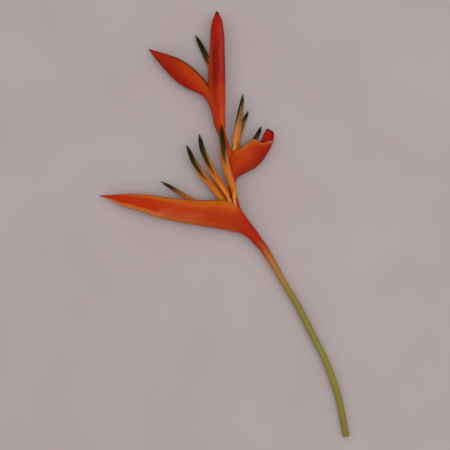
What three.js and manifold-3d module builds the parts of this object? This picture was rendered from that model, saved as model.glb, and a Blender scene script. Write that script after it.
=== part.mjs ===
// Parrot's beak heliconia: one cut flower head on its stalk, lying on a flat surface.
// Millimetres. The cut end of the stalk is at -Y, the closed top bract points to +Y, the long bract to -X,
// and Z = 0 is the surface. The head is a fan, so all of its axes run close to one level plane.
import * as THREE from "three";
import Module from "manifold-3d";

const wasm = await Module();
wasm.setup();

// Driving dimensions
const clearance = 0.3;
const bractWall = 0.9;
const thinnestShare = 0.85;
const sepalThickness = 0.65;
const sepalHalfAngle = 52;
const pedicelRadius = 0.65;
const fullOvaryWidth = 1.35;
const stemSides = 12;
const stemSteps = 46;
const bractSteps = 25;
const bractFoldPoints = 13;
const tubeSides = 8;
const tubeSteps = 13;
const sepalPoints = 4;
const ovaryRings = 7;

// Stalk and zigzag axis, from the cut end up into the top bract: x, y, height, radius
const stemLine = [
  [78.1, -136.0, 2.1, 2.1],
  [76.0, -125.6, 2.4, 2.1],
  [72.8, -110.3, 2.8, 2.1],
  [65.0, -88.1, 3.3, 2.1],
  [56.6, -71.4, 3.7, 2.15],
  [47.2, -52.8, 4.1, 2.15],
  [37.1, -35.8, 4.5, 2.05],
  [30.3, -23.8, 4.8, 2.4],
  [26.7, -18.6, 4.9, 2.6],
  [23.4, -13.6, 5.0, 2.25],
  [17.6, -5.9, 5.2, 2.2],
  [12.8, 1.0, 5.4, 2.2],
  [9.6, 6.6, 5.5, 2.15],
  [7.3, 12.2, 5.5, 2.1],
  [6.1, 17.3, 5.5, 2.05],
  [4.9, 22.1, 5.4, 1.95],
  [4.3, 27.2, 5.4, 1.85],
  [3.6, 33.0, 5.4, 1.85],
  [2.9, 40.6, 5.3, 1.85],
  [1.9, 48.3, 5.35, 1.8],
  [-0.2, 54.1, 5.5, 1.6],
  [-1.0, 57.6, 5.8, 1.5],
  [-1.9, 61.8, 6.1, 1.4],
  [-2.5, 66.9, 6.6, 1.3],
  [-3.0, 73.9, 7.1, 1.2],
  [-4.2, 82.9, 7.7, 1.1],
];

// Bracts, from the ring that clasps the stalk out to the tip. Each row is one fold across the leaf:
// keel x, y, mouth x, y, half width, fold angle of the near and of the far wall, height, twist, and where
// the near wall stops short of the mouth, the share of the way that it reaches.
const lowerBractFolds = [
  [20.7, -15.8, 25.9, -11.8, 3.1, 179, 179, 5.0, 0],
  [14.7, -8.5, 20.2, -3.8, 3.4, 178, 178, 5.3, 0],
  [11.2, -5.9, 16.3, 2.2, 4.3, 166, 166, 5.6, 0],
  [8.4, -5.0, 12.5, 7.4, 5.2, 146, 146, 5.8, 0],
  [5.3, -4.4, 8.6, 11.2, 5.9, 128, 132, 5.7, 0],
  [0.2, -3.2, 2.2, 14.7, 6.1, 128, 135, 5.65, 0],
  [-6.2, -2.2, -4.2, 15.7, 6.1, 132, 138, 5.65, 0],
  [-19.0, 0.0, -17.0, 15.8, 6.0, 138, 142, 5.65, 0],
  [-31.8, 2.2, -30.4, 16.8, 5.6, 144, 146, 5.7, 0],
  [-44.7, 5.4, -43.5, 18.7, 5.0, 150, 150, 5.8, 0],
  [-57.5, 9.5, -56.6, 19.8, 4.0, 158, 158, 5.9, 0],
  [-67.0, 12.6, -66.6, 19.9, 2.9, 165, 165, 6.0, 0],
  [-75.2, 16.6, -75.3, 19.2, 1.2, 172, 172, 6.1, 0],
  [-80.1, 18.4, -80.1, 18.9, 0.35, 176, 176, 6.2, 0],
];
const rightBractFolds = [
  [7.6, 22.4, 1.7, 21.8, 2.95, 179, 179, 5.4, 0, 1],
  [7.3, 26.6, 1.1, 26.9, 3.0, 178, 178, 5.4, 0, 1],
  [7.4, 29.4, 0.8, 32.3, 3.1, 172, 172, 5.4, 0, 1],
  [8.3, 30.7, 1.9, 37.4, 3.5, 155, 155, 5.3, 0, 1],
  [10.1, 31.7, 4.2, 43.2, 4.2, 135, 140, 5.2, 0, 1],
  [12.6, 33.0, 5.6, 47.5, 4.6, 128, 134, 5.1, 0, 1],
  [15.8, 34.7, 9.8, 50.0, 4.8, 128, 128, 4.85, 0, 1],
  [19.8, 37.0, 15.0, 53.5, 4.9, 124, 124, 4.75, 0, 1],
  [23.7, 40.6, 19.5, 54.8, 4.8, 120, 120, 4.75, 4, 1],
  [27.1, 45.6, 23.2, 53.7, 4.4, 105, 115, 4.8, 7, 0.88],
  [29.8, 50.5, 25.0, 57.3, 3.8, 80, 112, 4.8, 9, 0.5],
  [31.3, 54.5, 26.2, 59.9, 3.1, 45, 112, 4.8, 9, 0.12],
  [31.5, 57.5, 27.0, 61.2, 2.5, 30, 112, 4.9, 8, 0.06],
  [30.7, 60.0, 28.2, 62.0, 1.6, 25, 112, 5.0, 8, 0.06],
];
const upperLeftBractFolds = [
  [-1.0, 47.9, 4.4, 48.7, 2.72, 178, 178, 5.35, 0],
  [-2.8, 52.8, 2.5, 53.7, 2.8, 176, 176, 5.45, 5],
  [-4.1, 57.6, -0.4, 58.2, 3.45, 95, 95, 4.7, 40],
  [-6.3, 63.8, -1.8, 64.6, 4.1, 95, 95, 5.2, 45],
  [-7.6, 70.2, -2.6, 71.1, 4.65, 95, 95, 5.1, 45],
  [-9.4, 75.8, -4.8, 77.8, 4.9, 100, 95, 4.6, 38],
  [-11.5, 79.7, -6.7, 82.6, 4.9, 105, 100, 4.45, 28],
  [-14.2, 82.7, -9.1, 87.0, 4.8, 112, 108, 4.5, 18],
  [-18.2, 84.9, -11.3, 90.4, 4.7, 124, 120, 4.8, 10],
  [-23.4, 87.0, -14.8, 94.9, 4.6, 136, 136, 5.0, 4],
  [-29.1, 90.4, -20.5, 100.3, 4.4, 147, 147, 5.2, 0],
  [-34.9, 95.4, -27.8, 105.5, 3.9, 156, 156, 5.3, 0],
  [-40.6, 101.7, -35.5, 108.7, 2.9, 164, 164, 5.3, 0],
  [-45.1, 107.3, -42.6, 111.0, 1.6, 171, 171, 5.4, 0],
  [-48.8, 112.2, -48.6, 112.7, 0.35, 176, 176, 5.5, 0],
];
const topBractFolds = [
  [1.9, 55.7, -2.9, 55.0, 2.4, 179, 179, 5.6, 0],
  [0.6, 61.1, -4.5, 60.3, 2.65, 178, 178, 6.1, 0],
  [0.1, 66.9, -6.1, 66.2, 3.1, 176, 176, 6.7, 0],
  [0.1, 72.6, -7.6, 72.3, 3.7, 174, 174, 7.3, 0],
  [0.1, 78.4, -8.9, 78.7, 4.3, 173, 173, 7.9, 0],
  [0.2, 84.8, -10.0, 85.1, 4.7, 172, 172, 8.3, 0],
  [0.3, 91.2, -10.6, 91.2, 4.9, 172, 172, 8.5, 0],
  [0.2, 98.2, -10.4, 98.2, 4.9, 172, 172, 8.5, 0],
  [0.0, 105.9, -10.0, 105.9, 4.8, 172, 172, 8.5, 0],
  [-0.2, 113.6, -9.7, 113.6, 4.6, 172, 172, 8.4, 0],
  [-0.4, 120.0, -9.3, 120.0, 4.3, 172, 172, 8.3, 0],
  [-1.0, 125.4, -9.0, 125.4, 3.8, 172, 172, 8.2, 0],
  [-1.9, 130.2, -8.0, 130.2, 2.9, 172, 172, 8.1, 0],
  [-3.3, 133.6, -6.7, 133.6, 1.7, 173, 173, 8.1, 0],
  [-4.8, 136.4, -5.4, 136.4, 0.35, 175, 175, 8.1, 0],
];

// Florets. Each line of x, y, height starts at the foot of the pedicel and ends at the tip of the tube.
const florets = [
  {
    name: "lower_floret_1",
    line: [
      [9.0, 1.6, 5.3], [4.2, 2.6, 5.0], [-3.0, 6.2, 4.9], [-11.4, 10.8, 5.3],
      [-20.4, 15.6, 5.8], [-30.6, 21.4, 6.3], [-41.5, 28.0, 6.6],
    ],
    halfWidth: 1.2, halfDepth: 1.2, pedicel: 3, ovary: 5, sepalAt: 0,
  },
  {
    name: "lower_floret_2",
    line: [
      [6.4, 7.3, 4.2], [4.1, 9.7, 4.2], [-0.8, 15.3, 4.4], [-7.1, 23.0, 4.9],
      [-14.6, 32.4, 5.6], [-20.5, 41.4, 6.0], [-24.9, 51.5, 6.2],
    ],
    halfWidth: 1.65, halfDepth: 1.45, pedicel: 3, ovary: 5, sepalAt: 0,
  },
  {
    name: "lower_floret_3",
    line: [
      [5.9, 10.0, 7.7], [5.0, 12.4, 7.9], [3.1, 16.0, 7.9], [1.6, 18.9, 7.9], [-2.8, 25.7, 7.9],
      [-7.9, 34.0, 7.9], [-11.9, 42.4, 7.9], [-15.0, 50.2, 7.9], [-16.7, 58.4, 7.9],
    ],
    halfWidth: 1.85, halfDepth: 1.5, pedicel: 3, ovary: 5, sepalAt: 0,
  },
  {
    name: "lower_floret_4",
    line: [
      [7.5, 9.4, 8.3], [6.8, 12.3, 8.9], [6.3, 14.8, 9.6], [6.0, 18.0, 10.2], [5.7, 21.0, 10.5],
      [4.9, 23.4, 10.5], [2.7, 29.1, 10.5], [0.5, 36.2, 10.4], [-0.8, 42.6, 10.3],
      [-1.6, 50.2, 10.3], [-1.9, 56.6, 10.3], [-2.0, 63.7, 10.3],
    ],
    halfWidth: 2.1, halfDepth: 1.5, pedicel: 6.5, ovary: 5, sepalAt: 60,
  },
  {
    name: "right_floret_1",
    line: [
      [5.2, 44.2, 5.3], [6.3, 49.0, 5.6], [6.8, 52.6, 6.2], [7.3, 56.6, 6.6], [7.9, 61.1, 6.8],
      [9.1, 68.2, 7.0], [9.9, 73.9, 7.0], [11.3, 83.8, 7.0],
    ],
    halfWidth: 1.7, halfDepth: 1.4, pedicel: 3, ovary: 5, sepalAt: 0,
  },
  {
    name: "right_floret_2",
    line: [
      [6.1, 41.6, 4.4], [7.1, 46.0, 3.8], [7.8, 49.3, 3.5], [8.8, 56.6, 3.3], [10.8, 63.0, 3.5],
      [12.4, 67.5, 3.7], [14.8, 73.3, 4.0],
    ],
    halfWidth: 1.2, halfDepth: 1.15, pedicel: 3, ovary: 4, sepalAt: 0,
  },
  {
    name: "right_floret_3",
    line: [
      [5.9, 38.1, 5.5], [9.4, 41.2, 5.9], [12.0, 44.3, 5.9], [15.4, 48.6, 5.8], [18.4, 53.1, 5.8],
      [20.5, 57.1, 5.8], [23.2, 63.4, 5.9],
    ],
    halfWidth: 1.1, halfDepth: 1.2, pedicel: 2, ovary: 4, sepalAt: 0,
  },
  {
    name: "upper_left_floret_1",
    line: [
      [-7.6, 77.8, 3.3], [-8.4, 81.6, 3.3], [-9.2, 85.4, 3.2], [-9.2, 90.6, 2.9], [-8.9, 96.3, 2.4],
      [-9.6, 102.1, 2.2], [-12.2, 108.2, 2.4], [-15.4, 114.9, 2.9], [-18.4, 121.4, 3.4],
    ],
    halfWidth: 1.15, halfDepth: 1.1, pedicel: 2.5, ovary: 4.5, sepalAt: 0,
  },
];

// How a floret's tube and sepal swell and narrow from base to tip: share of the length, share of the width
const tubeSwell = [[0, 0.72], [0.12, 0.9], [0.35, 1.0], [0.6, 0.93], [0.8, 0.7], [0.93, 0.4], [1, 0.14]];
const sepalRun = { start: 0.03, end: 0.985, tipLift: 0.35, liftPower: 6 };
const sepalTaper = [[0, 0.8], [0.15, 1], [0.6, 1], [0.8, 0.8], [0.92, 0.5], [1, 0.15]];
// Ovary with its pedicel: share of the ovary's length, radius
const ovarySwell = [[0, 0.7], [0.25, 1.15], [0.55, 1.35], [0.85, 1.2], [1, 0.95]];

// Natural cubic curve through rows of numbers whose first column is the parameter
function throughRows(rows) {
  const size = rows[0].length - 1;
  const parameters = rows.map((row) => row[0]);
  const values = rows.flatMap((row) => row.slice(1));
  const curve = new THREE.CubicInterpolant(parameters, values, size, new Float64Array(size));
  return (parameter) => Array.from(curve.evaluate(parameter));
}

// Closed solid through rings of equal length. faceCells are the triangles of a ring's own end face.
function loft(rings, faceCells) {
  const count = rings[0].length;
  const positions = rings.flatMap((ring) => ring.flatMap((point) => [point.x, point.y, point.z]));
  const index = [];
  for (let ring = 0; ring + 1 < rings.length; ring++) {
    for (let i = 0; i < count; i++) {
      const a = ring * count + i;
      const b = ring * count + ((i + 1) % count);
      index.push(a, b, b + count, a, b + count, a + count);
    }
  }
  const lastRing = (rings.length - 1) * count;
  for (const [a, b, c] of faceCells) {
    index.push(c, b, a);
    index.push(lastRing + a, lastRing + b, lastRing + c);
  }
  return facingOut(positions, index);
}

function facingOut(positions, index) {
  const corner = [0, 1, 2].map(() => new THREE.Vector3());
  let volume = 0;
  for (let i = 0; i < index.length; i += 3) {
    corner.forEach((point, k) => point.fromArray(positions, 3 * index[i + k]));
    volume += corner[0].dot(corner[1].cross(corner[2]));
  }
  const geometry = new THREE.BufferGeometry();
  geometry.setAttribute("position", new THREE.Float32BufferAttribute(positions, 3));
  geometry.setIndex(volume > 0 ? index : index.reverse());
  return geometry;
}

const roundFace = (sides) => Array.from({ length: sides - 2 }, (_, i) => [0, i + 1, i + 2]);

// End face of a folded sheet whose ring runs out along one face and back along the other
function sheetFace(points) {
  const cells = [];
  for (let i = 0; i + 1 < points; i++) {
    const back = 2 * points - 1 - i;
    cells.push([i, i + 1, back - 1], [i, back - 1, back]);
  }
  return cells;
}

// Level frame on a line: side lies in the plane of the surface, up is square to the line
function frameAt(curve, share) {
  const point = curve.getPointAt(share);
  const along = curve.getTangentAt(share);
  const side = new THREE.Vector3(along.y, -along.x, 0).normalize();
  const up = new THREE.Vector3().crossVectors(side, along);
  return { point, along, side, up };
}

function ovalRing({ point, side, up }, halfWidth, halfDepth, sides) {
  return Array.from({ length: sides }, (_, i) => {
    const angle = (2 * Math.PI * i) / sides - Math.PI / 2;
    return point.clone()
      .addScaledVector(side, halfWidth * Math.cos(angle))
      .addScaledVector(up, halfDepth * Math.sin(angle));
  });
}

const lineCurve = (line) =>
  new THREE.CatmullRomCurve3(line.map(([x, y, z]) => new THREE.Vector3(x, y, z)), false, "centripetal");

function stemSolid(grow) {
  const curve = lineCurve(stemLine);
  const lengths = [0];
  for (let i = 1; i < stemLine.length; i++) {
    const [from, to] = [stemLine[i - 1], stemLine[i]];
    lengths.push(lengths[i - 1] + Math.hypot(to[0] - from[0], to[1] - from[1], to[2] - from[2]));
  }
  const total = lengths.at(-1);
  const radiusAt = throughRows(stemLine.map((row, i) => [lengths[i] / total, row[3]]));
  const rings = [];
  for (let step = 0; step <= stemSteps; step++) {
    const share = step / stemSteps;
    const [radius] = radiusAt(share);
    const ring = ovalRing(frameAt(curve, share), radius + grow, radius + grow, stemSides);
    ring.forEach((point) => (point.z = Math.max(point.z, 0)));
    rings.push(ring);
  }
  return loft(rings, roundFace(stemSides));
}

// One fold of a bract: points from the far lip round the keel to the near lip, outer face then inner face
function foldRing(row, grow) {
  const [keelX, keelY, mouthX, mouthY, halfWidth, nearFold, farFold, height, twist, nearReach = 1] = row;
  const keel = new THREE.Vector3(keelX, keelY, height);
  const mouth = new THREE.Vector3(mouthX, mouthY, height);
  const middle = keel.clone().lerp(mouth, 0.5);
  const halfDepth = keel.distanceTo(mouth) / 2;
  const level = mouth.clone().sub(keel).normalize();
  const turn = THREE.MathUtils.degToRad(twist);
  const up = new THREE.Vector3(0, 0, 1);
  const toMouth = level.clone().multiplyScalar(Math.cos(turn)).addScaledVector(up, Math.sin(turn));
  const toNear = up.clone().multiplyScalar(Math.cos(turn)).addScaledVector(level, -Math.sin(turn));
  const wall = Math.min(bractWall, thinnestShare * Math.min(halfWidth, halfDepth));
  const corner = (angle, rise, offset) => middle.clone()
    .addScaledVector(toMouth, (2 * rise - 1) * (halfDepth + offset))
    .addScaledVector(toNear, (halfWidth + offset) * Math.sin(angle));
  const outer = [];
  const inner = [];
  for (let i = 0; i < bractFoldPoints; i++) {
    const part = (2 * i) / (bractFoldPoints - 1) - 1;
    const fold = THREE.MathUtils.degToRad(part > 0 ? nearFold : farFold);
    const angle = part * fold;
    const reach = part > 0 ? nearReach : 1;
    const rise = (reach * (1 - Math.cos(angle))) / (1 - Math.cos(fold));
    outer.push(corner(angle, rise, grow));
    inner.push(corner(angle, rise, -wall));
  }
  outer.forEach((point) => (point.z = Math.max(point.z, 0)));
  inner.forEach((point) => (point.z = Math.max(point.z, bractWall)));
  return { outer, inner };
}

function foldsAlong(folds) {
  const lengths = [0];
  for (let i = 1; i < folds.length; i++) {
    const [from, to] = [folds[i - 1], folds[i]];
    const keelStep = Math.hypot(to[0] - from[0], to[1] - from[1]);
    const mouthStep = Math.hypot(to[2] - from[2], to[3] - from[3]);
    lengths.push(lengths[i - 1] + (keelStep + mouthStep) / 2);
  }
  const rowAt = throughRows(folds.map((row, i) => [lengths[i], ...row]));
  return Array.from({ length: bractSteps + 1 }, (_, step) => rowAt((lengths.at(-1) * step) / bractSteps));
}

function bractSolid(folds) {
  const rings = foldsAlong(folds).map((row) => {
    const { outer, inner } = foldRing(row, 0);
    return [...outer, ...inner.reverse()];
  });
  return loft(rings, sheetFace(bractFoldPoints));
}

// The space that a closed bract fills, a little larger all round
function bractSpace(folds) {
  const rings = foldsAlong(folds).map((row) => foldRing(row, clearance).outer);
  const back = rings[0][0].clone().sub(rings[1][0]).setLength(clearance);
  rings.unshift(rings[0].map((point) => point.clone().add(back)));
  return loft(rings, roundFace(bractFoldPoints));
}

function tubeSolid(curve, from, to, floret) {
  const swellAt = throughRows(tubeSwell);
  const sepalRoom = (clearance + sepalThickness) / 2;
  const sepalAngle = THREE.MathUtils.degToRad(floret.sepalAt);
  const rings = [];
  for (let step = 0; step <= tubeSteps; step++) {
    const part = step / tubeSteps;
    const [swell] = swellAt(part);
    const frame = frameAt(curve, from + (to - from) * part);
    frame.point.addScaledVector(frame.side, -sepalRoom * swell * Math.cos(sepalAngle))
      .addScaledVector(frame.up, -sepalRoom * swell * Math.sin(sepalAngle));
    rings.push(ovalRing(frame, floret.halfWidth * swell, floret.halfDepth * swell, tubeSides));
  }
  return loft(rings, roundFace(tubeSides));
}

function sepalSolid(curve, from, to, floret) {
  const swellAt = throughRows(tubeSwell);
  const taperAt = throughRows(sepalTaper);
  const sepalRoom = (clearance + sepalThickness) / 2;
  const middleAngle = THREE.MathUtils.degToRad(floret.sepalAt);
  const rings = [];
  for (let step = 0; step <= tubeSteps; step++) {
    const part = sepalRun.start + ((sepalRun.end - sepalRun.start) * step) / tubeSteps;
    const [swell] = swellAt(part);
    const { point, side, up } = frameAt(curve, from + (to - from) * part);
    point.addScaledVector(side, -sepalRoom * swell * Math.cos(middleAngle))
      .addScaledVector(up, -sepalRoom * swell * Math.sin(middleAngle));
    const lift = clearance + sepalRun.tipLift * part ** sepalRun.liftPower;
    const spread = THREE.MathUtils.degToRad(sepalHalfAngle) * taperAt(part)[0];
    const face = (distance) => Array.from({ length: sepalPoints }, (_, i) => {
      const angle = middleAngle + spread * ((2 * i) / (sepalPoints - 1) - 1);
      return point.clone()
        .addScaledVector(side, (floret.halfWidth * swell + distance) * Math.cos(angle))
        .addScaledVector(up, (floret.halfDepth * swell + distance) * Math.sin(angle));
    });
    rings.push([...face(lift + sepalThickness), ...face(lift).reverse()]);
  }
  return loft(rings, sheetFace(sepalPoints));
}

function ovarySolid(curve, floret) {
  const total = curve.getLength();
  const radiusAt = throughRows(ovarySwell);
  const rings = [ovalRing(frameAt(curve, 0), pedicelRadius, pedicelRadius, tubeSides)];
  for (let ring = 0; ring < ovaryRings; ring++) {
    const part = ring / (ovaryRings - 1);
    const share = (floret.pedicel + floret.ovary * part) / total;
    const radius = radiusAt(part)[0] * Math.min(1, floret.halfWidth / fullOvaryWidth);
    rings.push(ovalRing(frameAt(curve, share), radius, radius, tubeSides));
  }
  return loft(rings, roundFace(tubeSides));
}

function toSolid(geometry) {
  const vertProperties = Float32Array.from(geometry.getAttribute("position").array);
  const triVerts = Uint32Array.from(geometry.getIndex().array);
  return new wasm.Manifold(new wasm.Mesh({ numProp: 3, vertProperties, triVerts }));
}

function cutAway(geometry, ...cutters) {
  const cut = cutters.reduce((solid, cutter) => solid.subtract(toSolid(cutter)), toSolid(geometry));
  const mesh = cut.getMesh();
  const result = new THREE.BufferGeometry();
  result.setAttribute("position", new THREE.Float32BufferAttribute(mesh.vertProperties, 3));
  result.setIndex(Array.from(mesh.triVerts));
  return result;
}

const finish = (color, roughness) => new THREE.MeshStandardMaterial({ color, roughness, metalness: 0 });
const stemFinish = finish(0x8f6a3a, 0.5);
const bractFinish = finish(0xb33c1c, 0.42);
const tubeFinish = finish(0xc4701f, 0.45);
const sepalFinish = finish(0x5a4a1c, 0.45);
const ovaryFinish = finish(0xd09024, 0.4);

const flower = new THREE.Group();
flower.name = "heliconia";

function place(name, geometry, material) {
  const mesh = new THREE.Mesh(geometry, material);
  mesh.name = name;
  flower.add(mesh);
}

const stemSpace = stemSolid(clearance);
place("stem", stemSolid(0), stemFinish);
place("lower_bract", cutAway(bractSolid(lowerBractFolds), stemSpace), bractFinish);
place("right_bract", cutAway(bractSolid(rightBractFolds), stemSpace), bractFinish);
place("upper_left_bract",
  cutAway(bractSolid(upperLeftBractFolds), stemSpace, bractSpace(topBractFolds)), bractFinish);
place("top_bract", cutAway(bractSolid(topBractFolds), stemSpace), bractFinish);

for (const floret of florets) {
  const curve = lineCurve(floret.line);
  const from = (floret.pedicel + floret.ovary + clearance) / curve.getLength();
  place(`${floret.name}_ovary`, ovarySolid(curve, floret), ovaryFinish);
  place(`${floret.name}_tube`, tubeSolid(curve, from, 1, floret), tubeFinish);
  place(`${floret.name}_sepal`, sepalSolid(curve, from, 1, floret), sepalFinish);
}

export default flower;
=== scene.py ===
import math

import bpy
import numpy as np
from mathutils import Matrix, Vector, noise


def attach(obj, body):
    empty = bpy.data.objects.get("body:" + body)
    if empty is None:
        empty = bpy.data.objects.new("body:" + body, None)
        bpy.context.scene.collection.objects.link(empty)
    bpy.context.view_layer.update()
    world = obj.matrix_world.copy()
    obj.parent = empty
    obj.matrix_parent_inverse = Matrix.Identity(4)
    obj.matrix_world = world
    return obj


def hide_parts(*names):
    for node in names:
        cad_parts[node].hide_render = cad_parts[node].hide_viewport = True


# Parrot's beak heliconia: one cut flower head on its stalk, lying on a pale table and seen from above.
# Places and sizes are in millimetres in the part's own frame. Meshes are written in metres.
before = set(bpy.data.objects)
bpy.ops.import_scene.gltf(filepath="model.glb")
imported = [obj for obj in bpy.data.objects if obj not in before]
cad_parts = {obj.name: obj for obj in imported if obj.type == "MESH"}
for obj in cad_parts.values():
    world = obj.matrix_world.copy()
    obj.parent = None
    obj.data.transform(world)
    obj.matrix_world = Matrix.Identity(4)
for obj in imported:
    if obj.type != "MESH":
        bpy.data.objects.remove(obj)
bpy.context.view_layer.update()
scene = bpy.context.scene
upward = np.array([0.0, 0.0, 1.0])
print("frame loaded with", len(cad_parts), "nodes")


# Shared helpers for nodes

def linearColour(hexText):
    shares = [int(hexText[i:i + 2], 16) / 255 for i in (1, 3, 5)]
    return (*[s / 12.92 if s <= 0.04045 else ((s + 0.055) / 1.055) ** 2.4 for s in shares], 1.0)


def setSockets(tree, node, values):
    # A node given as a value stands for its first output
    for socket, value in values.items():
        if isinstance(value, bpy.types.Node):
            value = value.outputs[0]
        if isinstance(value, bpy.types.NodeSocket):
            tree.links.new(value, node.inputs[socket])
        else:
            node.inputs[socket].default_value = value


def addNode(tree, kind, sockets=None, stops=(), **settings):
    # A kind that isn't written in full is a shader node
    node = tree.nodes.new(kind if "Node" in kind else "ShaderNode" + kind)
    for setting, value in settings.items():
        setattr(node, setting, value)
    if stops:
        ramp = node.color_ramp.elements
        ramp[0].position, ramp[0].color = stops[0][0], linearColour(stops[0][1])
        ramp[1].position, ramp[1].color = stops[-1][0], linearColour(stops[-1][1])
        for place, hexText in stops[1:-1]:
            ramp.new(place).color = linearColour(hexText)
    setSockets(tree, node, sockets or {})
    return node


def painted(tree, colour, layers):
    # Colours laid over one another, each where its mask is high
    for mask, hexText in layers:
        mixed = addNode(tree, "Mix", {0: mask, 6: colour, 7: linearColour(hexText)}, data_type="RGBA")
        colour = mixed.outputs[2]
    return colour


def within(tree, mask, value, low, rise, fall, high):
    # The mask, kept where the value lies between rise and fall and faded out to low and high
    for start, end in ((low, rise), (high, fall)):
        edge = addNode(tree, "MapRange", {0: value, 1: start, 2: end}, interpolation_type="SMOOTHSTEP")
        mask = addNode(tree, "Math", {0: mask, 1: edge}, operation="MULTIPLY")
    return mask


def drawnOut(tree, parts, scale, detail, roughness):
    # Noise in the piece's own directions, drawn out along some of them into streaks
    place = addNode(tree, "CombineXYZ", dict(enumerate(parts)))
    scaled = addNode(tree, "VectorMath", {0: place, 1: scale}, operation="MULTIPLY")
    return addNode(tree, "TexNoise", {
        "Vector": scaled, "Scale": 1.0, "Detail": detail, "Roughness": roughness})


def streaked(tree, colour, streaks, share, stops):
    tone = addNode(tree, "ValToRGB", {0: streaks}, stops)
    return addNode(tree, "Mix", {0: share, 6: colour, 7: tone}, data_type="RGBA",
                   blend_type="MULTIPLY").outputs[2]


def flecks(tree, place, cellScale, dotEdges, rareScale, rareEdges, share):
    # A mask with one dot in each cell, kept where a broader noise is high
    cells = addNode(tree, "TexVoronoi", {"Vector": place, "Scale": cellScale})
    chosen = addNode(tree, "TexNoise", {"Vector": place, "Scale": rareScale, "Detail": 1.0})
    dot = addNode(tree, "MapRange", {0: cells, 1: dotEdges[0], 2: dotEdges[1], 3: share, 4: 0.0})
    rare = addNode(tree, "MapRange", {0: chosen, 1: rareEdges[0], 2: rareEdges[1]})
    return addNode(tree, "Math", {0: dot, 1: rare}, operation="MULTIPLY")


def startSkin(name, *labels):
    # Gives the material, its tree and shader, the place on the piece, and the piece's values by label
    skin = bpy.data.materials.new(name)
    skin.use_nodes = True
    tree = skin.node_tree
    place = addNode(tree, "TexCoord").outputs["Object"]
    values = [addNode(tree, "Attribute", attribute_name=label).outputs["Fac"] for label in labels]
    return skin, tree, tree.nodes["Principled BSDF"], place, *values


def finishSkin(tree, shader, colour, height, strength, values):
    # The relief is at most 0.1 mm deep
    bump = addNode(tree, "Bump", {"Strength": strength, "Distance": 0.0001, "Height": height})
    setSockets(tree, shader, {"Base Color": colour, "Normal": bump, **values})


def startTree(name, sockets):
    tree = bpy.data.node_groups.new(name, "GeometryNodeTree")
    for label, kind in sockets.items():
        tree.interface.new_socket(name=label, in_out="INPUT", socket_type="NodeSocket" + kind)
    tree.interface.new_socket(name="Mesh", in_out="OUTPUT", socket_type="NodeSocketGeometry")
    return tree, addNode(tree, "NodeGroupInput").outputs


# Shared helpers for lines and meshes

def hermite(start, leave, end, arrive, t):
    return (start * (2 * t**3 - 3 * t**2 + 1) + leave * (t**3 - 2 * t**2 + t)
            + end * (3 * t**2 - 2 * t**3) + arrive * (t**3 - t**2))


def throughRows(rows):
    # Smooth curve through rows whose first value is the parameter, level at both ends
    table = np.array(rows, float)
    places, values = table[:, 0], table[:, 1:]
    steps = np.diff(places)
    rises = np.diff(values, axis=0) / steps[:, None]
    slopes = np.zeros_like(values)
    slopes[1:-1] = (rises[:-1] + rises[1:]) / 2

    def at(place):
        i = int(np.clip(np.searchsorted(places, place, side="right") - 1, 0, len(steps) - 1))
        t = float(np.clip((place - places[i]) / steps[i], 0, 1))
        return hermite(values[i], slopes[i] * steps[i], values[i + 1], slopes[i + 1] * steps[i], t)

    return at


def pointsAt(wanted, marks, line):
    return np.stack([np.interp(wanted, marks, line[:, k]) for k in range(3)], axis=1)


def smoothLine(points, count):
    # Centripetal curve through the points, given back as evenly spaced points
    fineSteps = 24
    p = [Vector(point) for point in points]
    p = [2 * p[0] - p[1], *p, 2 * p[-1] - p[-2]]
    fine = []
    for a, b, c, d in zip(p, p[1:], p[2:], p[3:]):
        ab, bc, cd = (math.sqrt((v - u).length) for u, v in ((a, b), (b, c), (c, d)))
        leave = ((b - a) / ab - (c - a) / (ab + bc) + (c - b) / bc) * bc
        arrive = ((c - b) / bc - (d - b) / (bc + cd) + (d - c) / cd) * bc
        fine += [hermite(b, leave, c, arrive, step / fineSteps) for step in range(fineSteps)]
    fine.append(p[-2])
    line = np.array(fine)
    run = np.concatenate([[0], np.cumsum(np.linalg.norm(np.diff(line, axis=0), axis=1))])
    return pointsAt(np.linspace(0, run[-1], count), run, line), run[-1]


def smoothStep(low, high, value):
    t = np.clip((value - low) / (high - low), 0, 1)
    return t * t * (3 - 2 * t)


def ringFaces(ringCount, ringSize, first=0):
    # Faces between rings of points that follow each other in the list
    faces = []
    for ring in range(ringCount - 1):
        for i in range(ringSize):
            a, b = (first + ring * ringSize + corner % ringSize for corner in (i, i + 1))
            faces.append((a, b, b + ringSize, a + ringSize))
    return faces


def outwardFaces(points, faces):
    # The faces of a closed shell, turned round where they point inwards
    volume = sum(np.dot(points[f[0]], np.cross(points[f[1]], points[f[2]])) for f in faces)
    return [tuple(reversed(face)) for face in faces] if volume < 0 else faces


def addValues(mesh, values):
    for label, value in values.items():
        layer = mesh.attributes.new(label, "FLOAT", "POINT")
        layer.data.foreach_set("value", np.full(len(mesh.vertices), value, np.float32))


def meshPiece(name, points, faces, values, skin):
    mesh = bpy.data.meshes.new(name)
    mesh.from_pydata((np.asarray(points) / 1000).tolist(), [], faces)
    addValues(mesh, values)
    mesh.shade_smooth()
    mesh.materials.append(skin)
    mesh.update()
    piece = bpy.data.objects.new(name, mesh)
    scene.collection.objects.link(piece)
    return piece


def runTree(piece, tree, values):
    # The tree's result takes the place of the piece's mesh
    modifier = piece.modifiers.new(tree.name, "NODES")
    modifier.node_group = tree
    for socket in tree.interface.items_tree:
        if socket.in_out == "INPUT" and socket.name in values:
            modifier[socket.identifier] = values[socket.name]
    made = bpy.data.meshes.new_from_object(piece.evaluated_get(bpy.context.evaluated_depsgraph_get()))
    piece.modifiers.clear()
    before = piece.data
    piece.data = made
    bpy.data.meshes.remove(before)


def restOnTable(piece):
    for vertex in piece.data.vertices:
        vertex.co.z = max(vertex.co.z, 0)


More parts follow.
